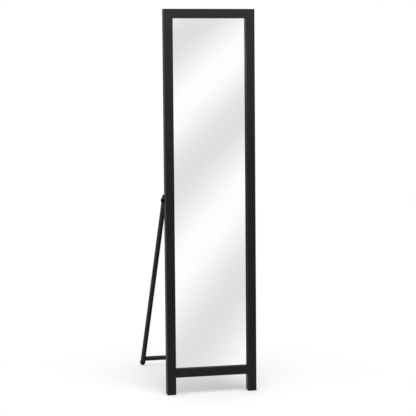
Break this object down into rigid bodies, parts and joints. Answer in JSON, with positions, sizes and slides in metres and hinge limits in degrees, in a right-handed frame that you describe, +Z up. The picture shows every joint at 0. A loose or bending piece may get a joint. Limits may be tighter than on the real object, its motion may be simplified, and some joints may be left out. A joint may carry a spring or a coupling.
{
  "type": "freestanding full length mirror",
  "caption": "Tall narrow mirror in a black frame whose stiles run on as feet, leaning back on a hinged black tube stand with a low crossbar.",
  "frame": {"origin": "on the floor at the middle of the object's box, feet in front and leg ends behind", "axes": "+Z up, -Y the way the mirror faces, +X to the right for someone looking at the mirror"},
  "size_m": [0.403, 0.5649, 1.5977],
  "materials": {
    "frame_paint": "satin black paint",
    "mirror": "silvered float glass",
    "hardboard": "raw hardboard",
    "beech": "raw beech",
    "zinc_steel": "zinc plated",
    "stand_paint": "satin black powder coat",
    "bolt_black": "black oxide",
    "black_plastic": "moulded plastic",
    "white_nylon": "moulded nylon",
    "black_rubber": "moulded rubber"
  },
  "bodies": {
    "frame": {"stile_left": "frame_paint", "stile_right": "frame_paint", "top_rail": "frame_paint", "bottom_rail": "frame_paint", "rail_dowels": "beech", "mirror_glass": "mirror", "back_panel": "hardboard", "panel_clips": "zinc_steel", "clip_screws": "zinc_steel", "foot_pad_left": "black_rubber", "foot_pad_right": "black_rubber", "hinge_bracket_left": "stand_paint", "hinge_bracket_right": "stand_paint", "bracket_screws": "zinc_steel", "pivot_bolts": "bolt_black", "pivot_nuts": "zinc_steel", "nut_rings": "white_nylon"},
    "stand": {"leg_left": "stand_paint", "leg_right": "stand_paint", "crossbar": "stand_paint", "crossbar_welds": "stand_paint", "saddle_washers": "black_plastic", "leg_plug_left": "black_plastic", "leg_plug_right": "black_plastic", "leg_cap_left": "black_rubber", "leg_cap_right": "black_rubber"}
  },
  "joints": [
    {"name": "stand_fold", "type": "hinge", "parent": "frame", "child": "stand", "pos_m": [0, -0.18469, 0.80698], "axis": [-1, 0, 0], "range_deg": [0, 32.8]}
  ]
}
